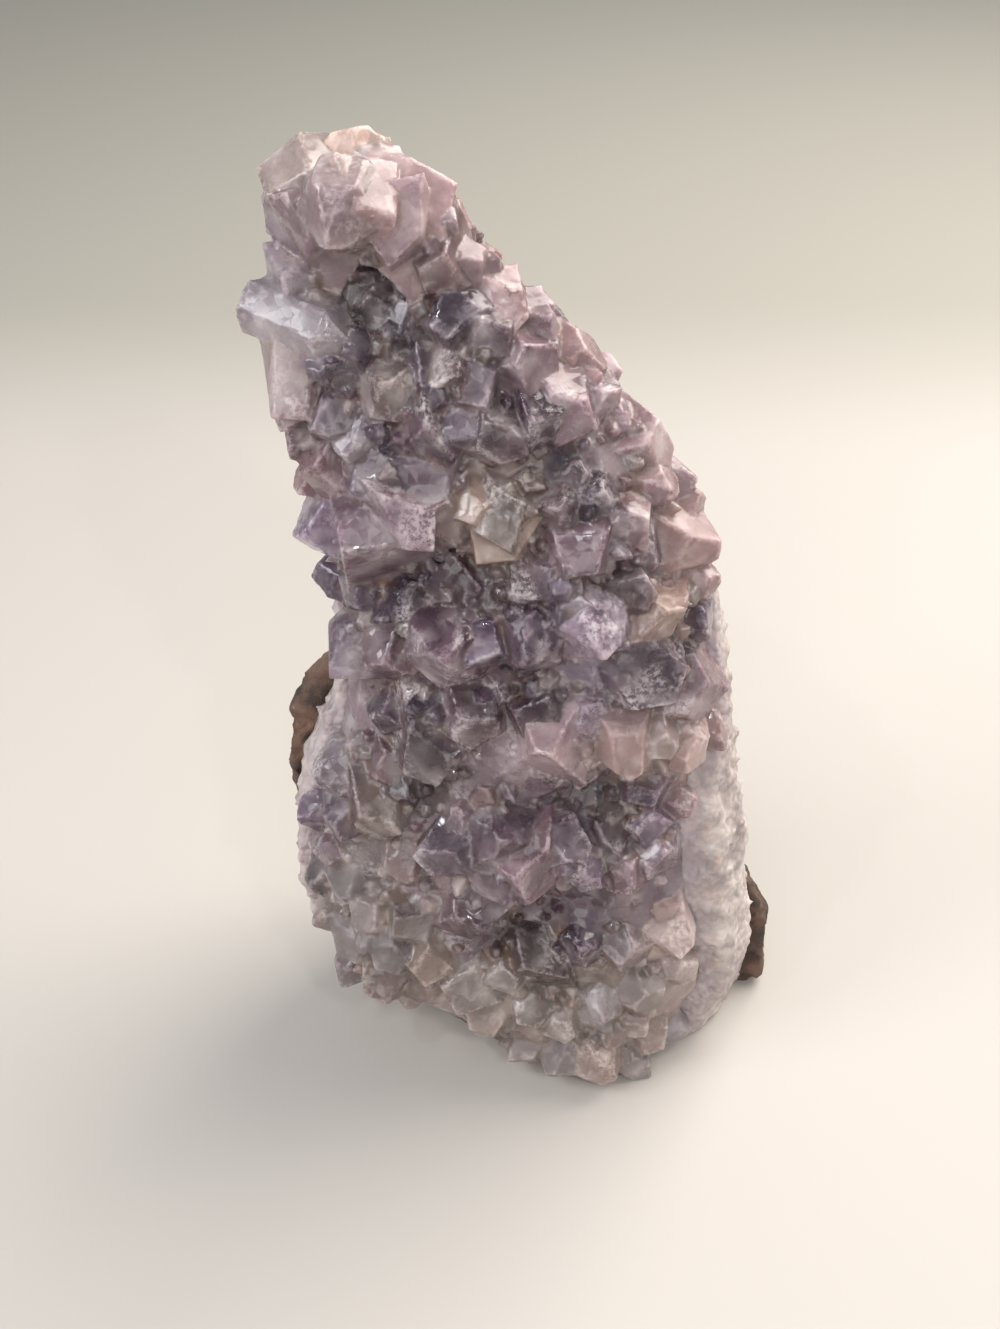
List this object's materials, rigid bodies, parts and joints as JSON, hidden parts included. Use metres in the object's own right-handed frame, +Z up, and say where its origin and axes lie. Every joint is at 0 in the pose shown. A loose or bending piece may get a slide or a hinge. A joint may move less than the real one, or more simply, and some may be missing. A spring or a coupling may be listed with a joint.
{
  "type": "amethyst cluster",
  "caption": "Free-standing amethyst cluster: a leaning fin of violet quartz points on a pale quartz band and brown basalt matrix, sawn flat underneath.",
  "frame": {"origin": "middle of the flat sawn foot that the cluster stands on", "axes": "+Z up along the fin, -Y out of the crystal face, +X to the right as the crystal face is seen"},
  "size_m": [0.0664, 0.0414, 0.1201],
  "materials": {
    "amethyst": "gloss",
    "pale_quartz": "satin",
    "basalt": "matte"
  },
  "bodies": {
    "root": {"amethyst_crystals": "amethyst", "quartz_band": "pale_quartz", "basalt_rind": "basalt"}
  },
  "joints": []
}
